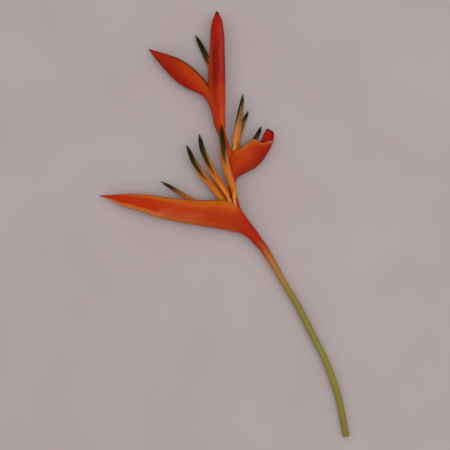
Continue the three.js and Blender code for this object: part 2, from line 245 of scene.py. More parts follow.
def finishPiece(piece, slotName, *nodes):
    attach(piece, "root")
    if nodes:
        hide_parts(*nodes)


# Geometry Nodes tree that sweeps a ribbed profile along a line of vertices

def ribbedSweepTree():
    tree, given = startTree("ribbed sweep", {
        "Line": "Geometry", "Sides": "Int", "Ribs": "Int", "Rib Height": "Float", "Half Width": "Float",
        "Half Depth": "Float", "Skin": "Material"})
    place = addNode(tree, "GeometryNodeSplineParameter").outputs["Factor"]

    # The line, with its share of the length and its level side kept
    line = addNode(tree, "GeometryNodeMeshToCurve", {"Mesh": given["Line"]})
    level = addNode(tree, "GeometryNodeSetCurveNormal", {"Curve": line}, mode="Z_UP")
    path = addNode(tree, "GeometryNodeStoreNamedAttribute",
                   {"Geometry": level, "Name": "along", "Value": place}, data_type="FLOAT")
    size = addNode(tree, "GeometryNodeInputNamedAttribute", {"Name": "size"}, data_type="FLOAT")

    # The profile: an oval with rounded ribs
    oval = addNode(tree, "GeometryNodeCurvePrimitiveCircle", {"Resolution": given["Sides"], "Radius": 1.0})
    turn = addNode(tree, "Math", {0: place, 1: given["Ribs"]}, operation="MULTIPLY")
    angle = addNode(tree, "Math", {0: turn, 1: math.tau}, operation="MULTIPLY")
    wave = addNode(tree, "Math", {0: angle}, operation="COSINE")
    swell = addNode(tree, "Math", {0: wave, 1: given["Rib Height"], 2: 1.0}, operation="MULTIPLY_ADD")
    here = addNode(tree, "GeometryNodeInputPosition")
    parts = addNode(tree, "SeparateXYZ", {0: here}).outputs
    raised = addNode(tree, "Math", {0: parts["Y"], 1: -1.0}, operation="MULTIPLY")
    profile = oval
    for label, value in (("across", parts["X"]), ("upper", raised)):
        profile = addNode(tree, "GeometryNodeStoreNamedAttribute",
                          {"Geometry": profile, "Name": label, "Value": value}, data_type="FLOAT")
    wide = addNode(tree, "Math", {0: swell, 1: given["Half Width"]}, operation="MULTIPLY")
    deep = addNode(tree, "Math", {0: swell, 1: given["Half Depth"]}, operation="MULTIPLY")
    scaled = addNode(tree, "CombineXYZ", {0: wide, 1: deep, 2: 1.0})
    moved = addNode(tree, "VectorMath", {0: here, 1: scaled}, operation="MULTIPLY")
    profile = addNode(tree, "GeometryNodeSetPosition", {"Geometry": profile, "Position": moved})

    swept = addNode(tree, "GeometryNodeCurveToMesh", {
        "Curve": path, "Profile Curve": profile, "Scale": size, "Fill Caps": True})
    smooth = addNode(tree, "GeometryNodeSetShadeSmooth", {"Geometry": swept})
    real = addNode(tree, "GeometryNodeRealizeInstances", {"Geometry": smooth})
    dressed = addNode(tree, "GeometryNodeSetMaterial", {"Geometry": real, "Material": given["Skin"]})
    addNode(tree, "NodeGroupOutput", {"Mesh": dressed})
    return tree


sweepTree = ribbedSweepTree()


def sweptPiece(name, line, sizes, values):
    # The sizes along the line are in millimetres, unless half sizes are among the values
    mesh = bpy.data.meshes.new(name + "Line")
    mesh.from_pydata((line / 1000).tolist(), [(i, i + 1) for i in range(len(line) - 1)], [])
    mesh.attributes.new("size", "FLOAT", "POINT").data.foreach_set("value", np.asarray(sizes, np.float32))
    piece = bpy.data.objects.new(name, mesh)
    scene.collection.objects.link(piece)
    runTree(piece, sweepTree, {"Half Width": 0.001, "Half Depth": 0.001, **values})
    return piece


# Stalk and the zigzag axis that it runs on into

stalk = {
    "line": [  # x, y, height, radius
        (78.1, -136.0, 2.1, 2.1), (76.0, -125.6, 2.4, 2.1), (72.8, -110.3, 2.8, 2.1), (65.0, -88.1, 3.3, 2.1),
        (56.6, -71.4, 3.7, 2.15), (47.2, -52.8, 4.1, 2.15), (37.1, -35.8, 4.5, 2.05),
        (30.3, -23.8, 4.8, 2.35), (27.0, -18.4, 4.9, 2.6), (23.7, -13.4, 5.0, 2.75),
        (17.6, -5.9, 5.2, 2.3), (12.8, 1.0, 5.4, 2.2),
        (9.6, 6.6, 5.5, 2.15), (7.3, 12.2, 5.5, 2.1), (5.9, 17.3, 5.5, 2.2), (4.5, 22.1, 5.4, 2.3),
        (4.1, 27.2, 5.4, 2.05), (3.6, 33.0, 5.4, 1.85), (2.9, 40.6, 5.3, 1.9), (2.6, 45.6, 5.3, 2.35),
        (1.9, 48.3, 5.35, 1.8), (-0.2, 54.1, 5.5, 1.6), (-1.0, 57.6, 5.8, 1.5), (-1.9, 61.8, 6.1, 1.4),
        (-2.5, 66.9, 6.6, 1.3), (-3.0, 73.9, 7.1, 1.2), (-4.2, 82.9, 7.7, 1.1)],
    "steps": 420,
    "sides": 72,
    "ribs": 17,
    "ribHeight": 0.012,
    "kneeLength": 26.0,
    "wavesPerKnee": 4,
    "unevenness": 0.05,
    # Colour by distance from the cut end in millimetres
    "colours": [(0, "#887836"), (20, "#8a7e38"), (48, "#8a883c"), (76, "#84803a"), (98, "#8c7e38"),
                (114, "#a47a3c"), (124, "#ac6e34"), (131, "#b05a26"), (138, "#a63a14"), (147, "#9c200a"),
                # The last stops are the axis's own red, made lighter as painted light where the florets shade
                # it
                (156, "#9c1408"), (184, "#ac220a"), (196, "#d03812"), (248, "#d03c12")],
    # Shares of the length by which the colour wanders, lags at the sides and is set back
    "colourDrift": 0.05,
    "edgeLag": 0.045,
    "setBack": 0.035,
}


def stalkSkin(length):
    # Heliconia stalk: a smooth fibrous stem, satin, olive at the cut and flushed red at the head
    skin, tree, shader, place, along, across, upper = startSkin(
        "fibrous green stalk skin", "along", "across", "upper")
    drift = addNode(tree, "TexNoise", {"Vector": place, "Scale": 55.0, "Detail": 3.0})
    shifted = addNode(tree, "Math", {0: drift, 1: stalk["colourDrift"], 2: along}, operation="MULTIPLY_ADD")
    beside = addNode(tree, "Math", {0: across, 1: 2.0}, operation="POWER")
    lagged = addNode(tree, "Math", {0: beside, 1: stalk["edgeLag"], 2: shifted}, operation="MULTIPLY_ADD")
    centred = addNode(tree, "Math", {0: lagged, 1: stalk["setBack"]}, operation="SUBTRACT")
    stops = [(min(distance / length, 1.0), hexText) for distance, hexText in stalk["colours"]]
    colour = addNode(tree, "ValToRGB", {0: centred}, stops)

    # Fibres about 0.4 mm apart that run the length of the stalk, and scattered brown flecks of about 0.5 mm
    fibres = drawnOut(tree, (across, upper, along), (9.0, 9.0, length / 14.0), 4.0, 0.65)
    toned = streaked(tree, colour, fibres, 0.75, [(0.3, "#c9bfae"), (0.55, "#ffffff"), (0.75, "#e8e4d4")])
    spots = flecks(tree, place, 222.0, (0.1, 0.2), 120.0, (0.62, 0.68), 0.7)
    finishSkin(tree, shader, painted(tree, toned, [(spots, "#3c2412")]), fibres, 0.35, {
        "Roughness": addNode(tree, "MapRange", {0: fibres, 3: 0.38, 4: 0.58}), "IOR": 1.45,
        "Specular IOR Level": 0.25, "Specular Tint": linearColour("#ffd2a0"), "Subsurface Weight": 0.08,
        "Subsurface Scale": 0.001})
    return skin


def makeStalk():
    rows = stalk["line"]
    line, length = smoothLine([row[:3] for row in rows], stalk["steps"])
    marks = [math.dist(a[:3], b[:3]) for a, b in zip(rows, rows[1:])]
    marks = np.concatenate([[0], np.cumsum(marks)])
    radiusAt = throughRows([(mark / marks[-1], row[3]) for mark, row in zip(marks, rows)])
    sizes = np.array([radiusAt(share)[0] for share in np.linspace(0, 1, stalk["steps"])])
    for i, point in enumerate(line):
        spot = Vector(point) / stalk["kneeLength"] * stalk["wavesPerKnee"]
        sizes[i] += stalk["unevenness"] * noise.noise(spot)
    piece = sweptPiece("stalk", line, sizes, {
        "Sides": stalk["sides"], "Ribs": stalk["ribs"], "Rib Height": stalk["ribHeight"],
        "Skin": stalkSkin(length)})
    restOnTable(piece)
    finishPiece(piece, "stem", "stem")
    return line, sizes


stalkLine, stalkSizes = makeStalk()
print("stalk made")


# Cut end: a damp, slightly domed face with the ends of the fibre bundles standing in it

cutEnd = {
    "dome": 0.25,
    "rings": 7,
    "spokes": 40,
    "rimShare": 0.985,
    "raggedness": 0.05,
    "bundleRadius": 0.11,
    "bundleDensity": 1900000.0,
    "seed": 11,
}


def bundleTree():
    tree, given = startTree("fibre bundles", {
        "Face": "Geometry", "Bundle Radius": "Float", "Density": "Float", "Seed": "Int",
        "Bundle Skin": "Material"})
    gap = addNode(tree, "Math", {0: given["Bundle Radius"], 1: 2.4}, operation="MULTIPLY")
    spots = addNode(tree, "GeometryNodeDistributePointsOnFaces", {
        "Mesh": given["Face"], "Distance Min": gap, "Density Max": given["Density"], "Seed": given["Seed"]},
        distribute_method="POISSON")
    bead = addNode(tree, "GeometryNodeMeshIcoSphere", {"Radius": given["Bundle Radius"], "Subdivisions": 2})
    spread = addNode(tree, "FunctionNodeRandomValue", {2: 0.6, 3: 1.15, "Seed": given["Seed"]},
                     data_type="FLOAT")
    beads = addNode(tree, "GeometryNodeInstanceOnPoints", {
        "Points": spots, "Instance": bead, "Scale": spread.outputs[1]})
    real = addNode(tree, "GeometryNodeRealizeInstances", {"Geometry": beads})
    smooth = addNode(tree, "GeometryNodeSetShadeSmooth", {"Geometry": real})
    dressed = addNode(tree, "GeometryNodeSetMaterial", {"Geometry": smooth, "Material": given["Bundle Skin"]})
    whole = addNode(tree, "GeometryNodeJoinGeometry", {0: dressed})
    tree.links.new(given["Face"], whole.inputs[0])
    addNode(tree, "NodeGroupOutput", {"Mesh": whole})
    return tree


def plainSkin(name, light, dark, grain, roughness):
    # Cut plant tissue: damp and pale, mottled at the scale of its cells
    skin, tree, shader, place = startSkin(name)
    mottle = addNode(tree, "TexNoise", {"Vector": place, "Scale": 1000 / grain, "Detail": 4.0})
    colour = addNode(tree, "ValToRGB", {0: mottle}, [(0.35, dark), (0.65, light)])
    finishSkin(tree, shader, colour, mottle, 0.4, {
        "Roughness": roughness, "Subsurface Weight": 0.1, "Subsurface Scale": 0.001})
    return skin


def makeCutEnd():
    centre, inward = stalkLine[0], stalkLine[1] - stalkLine[0]
    inward = inward / np.linalg.norm(inward)
    sideways = np.array([inward[1], -inward[0], 0]) / math.hypot(inward[0], inward[1])
    lift = np.cross(sideways, inward)
    points = [centre - inward * cutEnd["dome"]]
    count = cutEnd["spokes"]
    for ring in range(1, cutEnd["rings"] + 1):
        share = ring / cutEnd["rings"]
        radius = stalkSizes[0] * share * cutEnd["rimShare"]
        for spoke in range(count):
            angle = math.tau * spoke / count
            spot = Vector((3 * math.cos(angle), 3 * math.sin(angle), 5 * share))
            ragged = cutEnd["raggedness"] * noise.noise(spot)
            points.append(centre - inward * (cutEnd["dome"] * (1 - share**3) + ragged)
                          + sideways * radius * math.cos(angle) + lift * radius * math.sin(angle))
    faces = [(0, 1 + (i + 1) % count, 1 + i) for i in range(count)]
    faces += ringFaces(cutEnd["rings"], count, 1)
    pith = plainSkin("cut stalk pith", "#c8c79a", "#a3a067", 0.35, 0.5)
    bundles = plainSkin("cut fibre bundles", "#8d8a50", "#6b6a38", 0.12, 0.55)
    piece = meshPiece("stalkCutFace", points, faces, {}, pith)
    runTree(piece, bundleTree(), {
        "Bundle Radius": cutEnd["bundleRadius"] / 1000, "Density": cutEnd["bundleDensity"],
        "Seed": cutEnd["seed"], "Bundle Skin": bundles})
    restOnTable(piece)
    finishPiece(piece, "stem")


makeCutEnd()
print("cut end made")


# Bracts: leaves folded along a keel into boats

bractBuild = {
    "foldPoints": 73,
    "lengthSteps": 190,
    "wall": 0.85,
    "lipWall": 0.34,
    "deepestWall": 0.85,  # Share of the fold's half size
    "veinsPerWall": 8,
    "veinHeight": 0.03,
    "unevenness": 0.14,
    "unevenLength": 13.0,
    "lipWave": 0.2,
    "lipWaveLength": 9.0,
    "sinkAtStalk": 1.0,
    "sinkLength": 10.0,
    "settleLengths": (12, 8),  # At the foot and at the tip
    "raggedRings": 7,
    "raggedColumns": 5.0,
    "cloudDrift": 0.22,
    "streakDrift": 0.14,
    "cloudWander": 0.16,
    "lineFades": (0.06, 0.1),
    "marginFade": 0.1,
    "tipEdges": (-0.004, 0.028),
    "scarEdges": (5 / 8, 10 / 9),  # Shares of the radius
}

# Each row is one fold across the leaf: keel x, y, mouth x, y, half width, fold angle of the near and of the
# far wall, height, and where they aren't 0 and 1 the twist and the share of the way to the mouth that the
# near wall reaches. A patch is a soft-edged area of colour: its colour and share, where it rises and falls
# along the leaf, then from keel to lip, with -1, 0 and 2, 3 off the leaf. A line is a dark vein: its place
# and half width from keel to lip, its start and end along the leaf, and its share. A scar is a small brown
# mark: x, y and radius. The margin is the dry rim of the lip: where it begins from keel to lip, how dry it
# is, and where along the leaf it begins.
lowerBract = {
    "name": "lowerBract", "node": "lower_bract", "seed": 1.3, "ragged": 0.0, "dryTip": 2.0,
    "margin": (0.965, 0.7, 0.3),
    "folds": [
        (20.6, -15.9, 26.2, -11.5, 3.1, 179, 179, 5.0), (14.9, -8.5, 20.3, -3.8, 3.4, 178, 178, 5.3),
        (11.2, -5.9, 15.9, 2.0, 4.3, 166, 166, 5.6), (8.4, -5.0, 12.0, 7.2, 5.2, 146, 146, 5.8),
        (5.3, -4.4, 8.6, 11.2, 5.9, 128, 132, 5.7), (0.2, -3.2, 2.2, 14.7, 6.1, 128, 135, 5.65),
        (-6.2, -2.2, -4.2, 15.7, 6.1, 132, 138, 5.65), (-19.0, 0.0, -17.0, 15.8, 6.0, 138, 142, 5.65),
        (-31.8, 2.2, -30.4, 16.8, 5.6, 144, 146, 5.7), (-44.7, 5.4, -43.5, 18.7, 5.0, 150, 150, 5.8),
        (-57.5, 9.5, -56.6, 19.8, 4.0, 158, 158, 5.9), (-67.0, 12.6, -66.6, 19.9, 2.9, 165, 165, 6.0),
        (-75.2, 16.6, -75.3, 19.2, 1.2, 172, 172, 6.1), (-80.1, 18.4, -80.1, 18.9, 0.35, 176, 176, 6.2)],
    "colours": [(0.0, "#b44a14"), (0.2, "#ba4a18"), (0.38, "#b63e0e"), (0.62, "#b63a06"), (0.78, "#ba4208"),
                (0.87, "#c05816"), (1.0, "#c2641c")],
    "inside": "#a84412",
    "patches": [
        ("#bc5a10", 0.85, (0.22, 0.36, 0.46, 0.58), (0.72, 0.9, 2, 3)),
        ("#a82e0c", 0.7, (0.14, 0.2, 0.34, 0.44), (0.3, 0.46, 0.6, 0.76)),
        ("#b62404", 0.8, (0.48, 0.76, 2, 3), (0.16, 0.34, 0.7, 0.9)),
        # Painted sheen: a mottled pinkish shine on the lower flank
        ("#bc5434", 0.55, (0.36, 0.46, 0.6, 0.7), (0.2, 0.32, 0.44, 0.62)),
        ("#c46422", 0.85, (0.3, 0.5, 0.92, 0.98), (-1, 0, 0.24, 0.36)),
        ("#cc7430", 0.75, (0.58, 0.68, 2, 3), (-1, 0, 0.34, 0.44)),
        ("#a81c06", 0.9, (-1, 0, 0.12, 0.28), (-1, 0, 2, 3)),
        ("#b04a1c", 0.8, (-1, 0, 0.015, 0.08), (0.12, 0.34, 0.66, 0.88))],
    "lines": [(0.04, 0.05, 0.25, 0.9, 0.8), (0.19, 0.03, 0.22, 0.58, 0.6), (0.26, 0.022, 0.2, 0.5, 0.45)],
    "scars": [(-38.1, 17.0, 0.55), (-33.6, 3.2, 0.5), (-24.9, 10.2, 0.45), (-30.3, 12.6, 0.35),
              (-44.6, 11.4, 0.4), (-7.0, 12.4, 0.35)],
}
rightBract = {
    "name": "rightBract", "node": "right_bract", "seed": 7.9, "ragged": 0.55, "dryTip": 1.4,
    "margin": (0.96, 0.5, 0.5),
    "folds": [
        (7.6, 22.4, 1.7, 21.8, 2.95, 179, 179, 5.4), (7.3, 26.6, 1.1, 26.9, 3.0, 178, 178, 5.4),
        (7.4, 29.4, 0.8, 32.3, 3.1, 172, 172, 5.4), (8.3, 30.7, 1.9, 37.4, 3.5, 155, 155, 5.3),
        (10.1, 31.7, 4.4, 44.5, 4.2, 142, 140, 5.2), (12.6, 33.0, 5.3, 47.4, 4.6, 140, 134, 5.1, 0, 0.97),
        (15.8, 34.7, 9.8, 50.0, 4.8, 132, 128, 4.85, 0, 0.95), (19.8, 37.0, 15.0, 53.5, 4.9, 124, 124, 4.75),
        (23.7, 40.6, 19.5, 54.8, 4.8, 120, 120, 4.75, 4, 1),
        (27.1, 45.6, 23.2, 53.7, 4.4, 105, 115, 4.8, 7, 0.88),
        (29.8, 50.5, 25.0, 57.3, 3.8, 80, 112, 4.8, 9, 0.5),
        (31.3, 54.5, 26.2, 59.9, 3.1, 45, 112, 4.8, 9, 0.12),
        (31.5, 57.5, 27.0, 61.2, 2.5, 30, 112, 4.9, 8, 0.06),
        (30.7, 60.0, 28.2, 62.0, 1.6, 25, 112, 5.0, 8, 0.06)],
    # The first stop is the keel's dark red with a purplish painted sheen along the keel rim
    "colours": [(0.0, "#82202c"), (0.12, "#962018"), (0.35, "#a4280e"), (0.55, "#ae2e06"), (0.8, "#b84204"),
                (0.93, "#ba4e0a"), (1.0, "#b4520e")],
    "inside": "#b41c0a",
    "patches": [
        ("#94703a", 0.75, (0.42, 0.5, 0.72, 0.82), (0.88, 0.96, 2, 3)),
        ("#b83606", 0.75, (0.08, 0.16, 0.5, 0.7), (0.48, 0.66, 0.76, 0.88)),
        ("#aa2c0a", 0.8, (-1, 0, 0.1, 0.2), (-1, 0, 2, 3)),
        ("#96140a", 0.8, (0.5, 0.7, 2, 3), (-1, 0, 0.72, 0.95)),
        # Painted highlight: a pale pinkish shine below the lip near the tip
        ("#b25c58", 0.7, (0.82, 0.87, 0.93, 0.98), (0.05, 0.25, 2, 3))],
    "lines": [],
    "scars": [(11.0, 36.4, 0.3)],
}
upperLeftBract = {
    "name": "upperLeftBract", "node": "upper_left_bract", "seed": 4.1, "ragged": 0.0, "dryTip": 1.8,
    "margin": (0.91, 1.0, 0.52),
    "folds": [
        (-1.0, 47.9, 4.4, 48.7, 2.72, 178, 178, 5.35), (-2.8, 52.8, 2.5, 53.7, 2.8, 176, 176, 5.45, 5, 1),
        (-4.35, 57.6, -0.7, 58.2, 2.75, 95, 95, 4.7, 40, 1),
        (-6.8, 63.8, -2.3, 64.6, 3.1, 95, 95, 5.05, 38, 1),
        (-8.05, 70.2, -3.05, 71.1, 3.9, 95, 95, 5.1, 38, 1),
        (-9.5, 75.8, -4.9, 77.8, 4.7, 100, 95, 4.6, 36, 1),
        (-11.5, 79.7, -6.7, 82.6, 4.9, 105, 100, 4.45, 28, 1),
        (-14.2, 82.7, -9.1, 87.0, 4.8, 112, 108, 4.5, 18, 1),
        (-18.2, 84.9, -11.3, 90.4, 4.7, 124, 120, 4.8, 10, 1),
        (-23.4, 87.0, -14.8, 94.9, 4.6, 136, 136, 5.0, 4, 1),
        (-29.1, 90.4, -20.5, 100.3, 4.4, 147, 147, 5.2), (-34.9, 95.4, -27.8, 105.5, 3.9, 156, 156, 5.3),
        (-40.6, 101.7, -35.5, 108.7, 2.9, 164, 164, 5.3), (-45.1, 107.3, -42.6, 111.0, 1.6, 171, 171, 5.4),
        (-48.8, 112.2, -48.6, 112.7, 0.35, 176, 176, 5.5)],
    "colours": [(0.0, "#921606"), (0.16, "#a01c06"), (0.34, "#aa1e06"), (0.52, "#b02a04"), (0.74, "#b43602"),
                (1.0, "#ac3e04")],
    "inside": "#b4420e",
    "patches": [
        # The neck's own orange-red, made lighter as painted light where the top bract shades the neck and its
        # lip side
        ("#ac3008", 0.8, (-1, 0, 0.36, 0.52), (-1, 0, 2, 3)),
        ("#ae3014", 0.8, (-1, 0, 0.34, 0.46), (0.5, 0.75, 2, 3)),
        ("#b03a06", 0.7, (0.38, 0.46, 0.54, 0.64), (0.5, 0.7, 2, 3)),
        ("#8a1406", 0.55, (0.5, 0.68, 0.84, 0.96), (0.1, 0.3, 0.45, 0.7)),
        ("#961604", 0.7, (0.66, 0.84, 2, 3), (-1, 0, 2, 3)),
        ("#5a200e", 0.75, (0.62, 0.76, 2, 3), (0.87, 0.95, 2, 3))],
    "lines": [],
    "scars": [],
}
topBract = {
    "name": "topBract", "node": "top_bract", "seed": 9.6, "ragged": 0.0, "dryTip": 1.7,
    "margin": (0.89, 0.4, 0.45),
    "folds": [
        (1.9, 55.7, -2.9, 55.0, 2.4, 179, 179, 5.6), (0.6, 61.1, -4.5, 60.3, 2.65, 178, 178, 6.1),
        (0.1, 66.9, -6.1, 66.2, 3.1, 177, 177, 6.7), (0.1, 72.6, -7.6, 72.3, 3.7, 176, 176, 7.3),
        (0.1, 78.4, -8.9, 78.7, 4.3, 175, 175, 7.9), (0.2, 84.8, -10.0, 85.1, 4.7, 175, 175, 8.3),
        (0.3, 91.2, -10.6, 91.2, 4.9, 175, 175, 8.5), (0.2, 98.2, -10.4, 98.2, 4.9, 175, 175, 8.5),
        (0.0, 105.9, -10.0, 105.9, 4.8, 175, 175, 8.5), (-0.2, 113.6, -9.7, 113.6, 4.6, 175, 175, 8.4),
        (-0.4, 120.0, -9.3, 120.0, 4.3, 175, 175, 8.3), (-1.0, 125.4, -9.0, 125.4, 3.8, 175, 175, 8.2),
        (-1.7, 130.2, -8.0, 130.2, 2.9, 175, 175, 8.1), (-3.1, 133.6, -6.8, 133.6, 1.7, 175, 175, 8.1),
        (-4.5, 136.1, -5.8, 136.1, 0.55, 175, 175, 8.1)],
    # The pinkish stops at 0.16 and 0.34 paint a highlight stripe between the keel and the dark band
    "colours": [(0.0, "#8c1418"), (0.16, "#a0201e"), (0.34, "#ae2c20"), (0.46, "#ae1a0a"), (0.66, "#aa1404"),
                (0.84, "#a82006"), (1.0, "#a03c10")],
    "inside": "#7c1206",
    "patches": [
        ("#bc3608", 0.85, (-1, 0, 0.34, 0.5), (-1, 0, 2, 3)),
        # Painted sheen: the lighter stripe carried down to the base
        ("#cc4c22", 0.6, (-1, 0, 0.2, 0.34), (0.1, 0.26, 0.4, 0.54)),
        ("#ac3a0a", 0.85, (0.22, 0.34, 0.66, 0.8), (0.68, 0.84, 2, 3)),
        ("#720c08", 0.86, (0.06, 0.5, 0.68, 0.88), (0.35, 0.53, 0.63, 0.8)),
        ("#6c0834", 0.82, (0.32, 0.56, 0.76, 0.94), (-1, 0, 0.02, 0.3)),
        ("#a41606", 0.8, (0.84, 0.93, 2, 3), (-1, 0, 2, 3)),
        ("#501410", 0.65, (0.9, 0.96, 2, 3), (-1, 0, 0.1, 0.22))],
    "lines": [],
    "scars": [],
}


def bractSkin(bract, length, scars):
    # Heliconia bract: a smooth leathery leaf under thin wax, so a broad soft shine over fine streaks
    build = bractBuild
    skin, tree, shader, place, along, across, inside = startSkin(
        "waxy bract skin " + bract["name"], "along", "across", "inside")
    side = addNode(tree, "Math", {0: across}, operation="ABSOLUTE")

    # Clouds drift over 12 mm. Streaks follow the veins, 0.6 mm apart and some 15 mm long.
    clouds = addNode(tree, "TexNoise", {"Vector": place, "Scale": 85.0, "Detail": 2.0})
    streaks = drawnOut(tree, (along, across, inside), (length / 15.0, 22.0, 1.0), 4.0, 0.6)
    cloudy = addNode(tree, "Math", {0: clouds, 1: build["cloudDrift"], 2: side}, operation="MULTIPLY_ADD")
    drifted = addNode(tree, "Math", {0: streaks, 1: build["streakDrift"], 2: cloudy},
                      operation="MULTIPLY_ADD")
    halfDrift = (build["cloudDrift"] + build["streakDrift"]) / 2
    centred = addNode(tree, "Math", {0: drifted, 1: halfDrift}, operation="SUBTRACT")
    colour = addNode(tree, "ValToRGB", {0: centred}, bract["colours"])

    # Patches (some of them painted sheen or light), veins and scars; over them the inner face, darker and
    # plainer
    wander = addNode(tree, "Math", {0: clouds, 1: build["cloudWander"], 2: along}, operation="MULTIPLY_ADD")
    shifted = addNode(tree, "Math", {0: wander, 1: build["cloudWander"] / 2}, operation="SUBTRACT")
    layers = []
    for hexText, share, alongEdges, sideEdges in bract["patches"]:
        mask = within(tree, share, shifted, *alongEdges)
        layers.append((within(tree, mask, centred, *sideEdges), hexText))
    startFade, endFade = build["lineFades"]
    for middle, half, start, end, share in bract["lines"]:
        alongEdges = (start - startFade, start + startFade, end - endFade, end + endFade)
        mask = within(tree, share, shifted, *alongEdges)
        layers.append((within(tree, mask, side, middle - half, middle, middle, middle + half), "#701804"))
    for centre, radius in scars:
        away = addNode(tree, "VectorMath", {0: place, 1: tuple(centre / 1000)}, operation="DISTANCE")
        solid, faded = (share * radius / 1000 for share in build["scarEdges"])
        mark = addNode(tree, "MapRange", {0: away.outputs["Value"], 1: solid, 2: faded, 3: 0.8, 4: 0.0})
        layers.append((mark, "#3c1408"))
    layers.append((inside, bract["inside"]))
    toned = streaked(tree, painted(tree, colour, layers), streaks, 0.8, [
        (0.25, "#e2d6d2"), (0.5, "#ffffff"), (0.8, "#f2e6dc")])

    # Dry brown margin on the lip, broken along its length, a black dry tip, and rare dark flecks
    lipFrom, dryness, dryFrom = bract["margin"]
    lip = addNode(tree, "MapRange", {0: side, 1: lipFrom, 2: (lipFrom + 1) / 2})
    patchy = addNode(tree, "MapRange", {0: clouds, 1: 0.36, 2: 0.58, 3: dryness**2, 4: dryness})
    margin = addNode(tree, "Math", {0: lip, 1: patchy}, operation="MULTIPLY")
    fade = build["marginFade"]
    rim = within(tree, margin, along, dryFrom - fade, dryFrom + fade, 2, 3)
    tipFrom, tipTo = (1 - bract["dryTip"] / length + edge for edge in build["tipEdges"])
    uneven = addNode(tree, "Math", {0: streaks, 1: 0.03, 2: along}, operation="MULTIPLY_ADD")
    tip = addNode(tree, "MapRange", {0: uneven, 1: tipFrom, 2: tipTo}, interpolation_type="SMOOTHSTEP")
    spots = flecks(tree, place, 160.0, (0.06, 0.15), 70.0, (0.66, 0.7), 0.75)
    marked = painted(tree, toned, [(rim, "#4c1c0c"), (tip, "#190c07"), (spots, "#4a160c")])
    finishSkin(tree, shader, marked, streaks, 0.3, {
        "Roughness": addNode(tree, "MapRange", {0: streaks, 3: 0.4, 4: 0.55}), "IOR": 1.45,
        "Specular IOR Level": 0.2, "Specular Tint": linearColour("#ffbc9c"), "Coat Weight": 0.02,
        "Coat Roughness": 0.25, "Subsurface Weight": 0.1, "Subsurface Scale": 0.0015})
    return skin


def foldFaces(row, across, outerOffset, innerOffset):
    # Outer and inner face of one fold, as points from the far lip round the keel to the near lip
    keelX, keelY, mouthX, mouthY, halfWidth, nearFold, farFold, height, twist, nearReach = row
    middle = np.array([(keelX + mouthX) / 2, (keelY + mouthY) / 2, height])
    level = np.array([mouthX - keelX, mouthY - keelY, 0.0])
    halfDepth = np.linalg.norm(level) / 2
    level = level / np.linalg.norm(level)
    turn = math.radians(twist)
    toMouth = level * math.cos(turn) + upward * math.sin(turn)
    toNear = upward * math.cos(turn) - level * math.sin(turn)
    fold = np.radians(np.where(across > 0, nearFold, farFold))
    angle = across * fold
    rise = np.where(across > 0, nearReach, 1) * (1 - np.cos(angle)) / (1 - np.cos(fold))

    def face(offset):
        limited = np.maximum(offset, -bractBuild["deepestWall"] * min(halfWidth, halfDepth))
        return (middle + np.outer((2 * rise - 1) * (halfDepth + limited), toMouth)
                + np.outer((halfWidth + limited) * np.sin(angle), toNear))

    return face(outerOffset), face(innerOffset), toMouth


def bractRings(bract, folds, marks, across):
    # One closed ring for each step along the leaf: outer face, near lip, inner face and far lip
    build, seed, length = bractBuild, bract["seed"], marks[-1]
    rowAt = throughRows([(mark, *row) for mark, row in zip(marks, folds)])
    lipShare = np.abs(across) ** 3
    wall = build["wall"] * (1 - lipShare) + build["lipWall"] * lipShare
    veins = build["veinHeight"] * np.cos(math.tau * build["veinsPerWall"] * across) * (1 - lipShare)
    settleAtFoot, settleAtTip = build["settleLengths"]
    rings = []
    for step in range(build["lengthSteps"] + 1):
        place = length * step / build["lengthSteps"]
        sink = build["sinkAtStalk"] * (1 - smoothStep(0, build["sinkLength"], place))
        settle = smoothStep(0, settleAtFoot, place) * smoothStep(0, settleAtTip, length - place)
        run = place / build["unevenLength"]
        wave = [noise.noise(Vector((run, 1.7 * value, seed))) for value in across]
        lift = build["unevenness"] * settle * np.array(wave)
        offsets = veins * settle + lift - sink, lift - wall - sink
        outer, inner, toMouth = foldFaces(rowAt(place), across, *offsets)
        run = place / build["lipWaveLength"]
        far, near = (noise.noise(Vector((run, edge, seed + 20))) for edge in (-3, 3))
        push = build["lipWave"] * settle * np.where(across > 0, near, far) * np.abs(across) ** 5
        outer = outer + np.outer(push, toMouth)
        inner = inner + np.outer(push, toMouth)
        lips = []
        for last, before in ((-1, -2), (0, 1)):
            outward = outer[last] - outer[before]
            outward = outward / max(np.linalg.norm(outward), 1e-6)
            half = np.linalg.norm(outer[last] - inner[last]) / 2
            for turn in (45, 90, 135):
                slide = (1 - math.cos(math.radians(turn))) / 2
                lips.append(outer[last] * (1 - slide) + inner[last] * slide
                            + outward * half * math.sin(math.radians(turn)))
        rings.append(np.vstack([outer, lips[:3], inner[::-1], lips[:2:-1]]))
    return np.array(rings)


